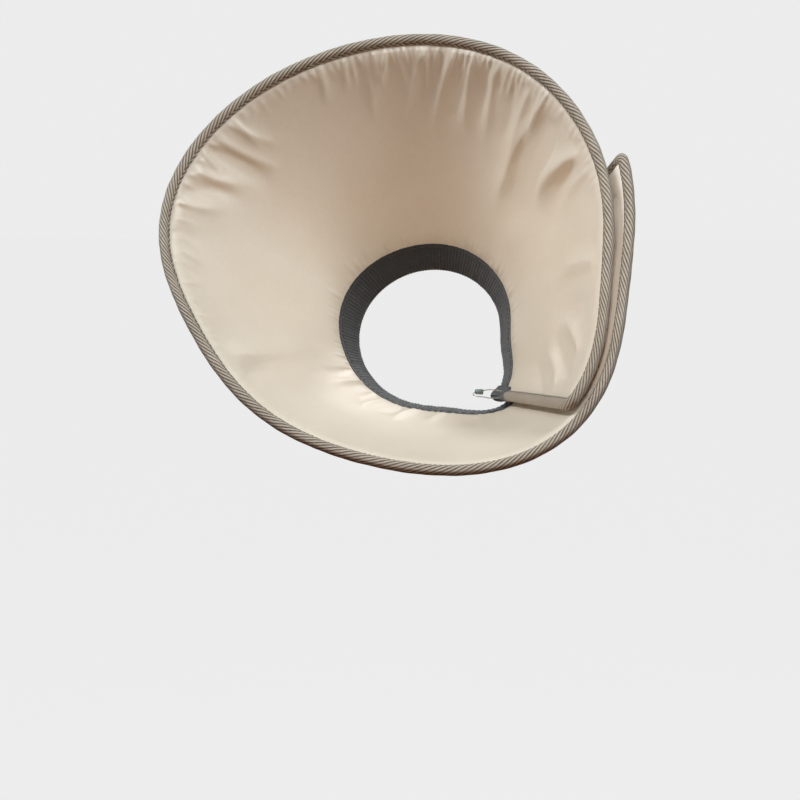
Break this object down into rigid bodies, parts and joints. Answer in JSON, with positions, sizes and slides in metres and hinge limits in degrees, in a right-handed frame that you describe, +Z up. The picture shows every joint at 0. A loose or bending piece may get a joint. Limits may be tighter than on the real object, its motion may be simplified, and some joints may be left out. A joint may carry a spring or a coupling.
{
  "type": "elizabethan collar",
  "caption": "Soft padded recovery cone: a fan-shaped cream panel wrapped round the neck with overlapping ends, taupe twill edge tape and a charcoal knitted neck cuff.",
  "frame": {"origin": "centre of the neck opening, in the plane of the neck edge", "axes": "worn position: +Z up, the cone's mouth faces -Y and looks up by 28.5 degrees, +X to the right of someone facing the mouth"},
  "size_m": [0.2756, 0.197, 0.2429],
  "materials": {
    "cream_lining": "satin woven",
    "white_foam": "open foam",
    "beige_shell": "matt woven",
    "taupe_twill_tape": "herringbone twill",
    "charcoal_knit": "ribbed knit",
    "elastic_band": "braided elastic",
    "hook_tape": "hook tape",
    "loop_tape": "loop pile",
    "grey_green_plastic": "moulded",
    "clear_nylon": "clear filament"
  },
  "bodies": {
    "back": {"lining_back": "cream_lining", "padding_back": "white_foam", "outer_shell_back": "beige_shell", "edge_tape_back": "taupe_twill_tape", "neck_cuff_back": "charcoal_knit", "neck_elastic_back": "elastic_band"},
    "lower": {"lining_lower": "cream_lining", "padding_lower": "white_foam", "outer_shell_lower": "beige_shell", "edge_tape_lower": "taupe_twill_tape", "neck_cuff_lower": "charcoal_knit", "neck_elastic_lower": "elastic_band"},
    "outer_flap": {"lining_outer_flap": "cream_lining", "padding_outer_flap": "white_foam", "outer_shell_outer_flap": "beige_shell", "edge_tape_outer_flap": "taupe_twill_tape", "neck_cuff_outer_flap": "charcoal_knit", "neck_elastic_outer_flap": "elastic_band", "corner_tab_outer": "charcoal_knit", "hook_strip_end": "hook_tape", "hook_strip_middle": "hook_tape"},
    "inner_flap": {"lining_inner_flap": "cream_lining", "padding_inner_flap": "white_foam", "outer_shell_inner_flap": "beige_shell", "edge_tape_inner_flap": "taupe_twill_tape", "neck_cuff_inner_flap": "charcoal_knit", "neck_elastic_inner_flap": "elastic_band", "corner_tab_inner": "charcoal_knit", "loop_strip": "loop_tape", "loop_pin_head": "grey_green_plastic", "loop_pin_filament": "clear_nylon"}
  },
  "joints": [
    {"name": "lower_bend", "type": "hinge", "parent": "back", "child": "lower", "pos_m": [-0.04621, -0.00688, -0.01645], "axis": [0.5267, 0.8221, -0.2163], "range_deg": [0, 45]},
    {"name": "outer_bend", "type": "hinge", "parent": "lower", "child": "outer_flap", "pos_m": [0.0323, -0.02406, -0.04811], "axis": [-0.292, 0.9558, 0.034], "range_deg": [0, 45]},
    {"name": "inner_bend", "type": "hinge", "parent": "back", "child": "inner_flap", "pos_m": [0.03657, 0.01411, 0.02257], "axis": [0.4121, -0.6134, 0.6738], "range_deg": [0, 27]}
  ],
  "couplings": [
    {"joint": "outer_bend", "follows": "lower_bend", "ratio": 1},
    {"joint": "inner_bend", "follows": "lower_bend", "ratio": 0.6}
  ]
}
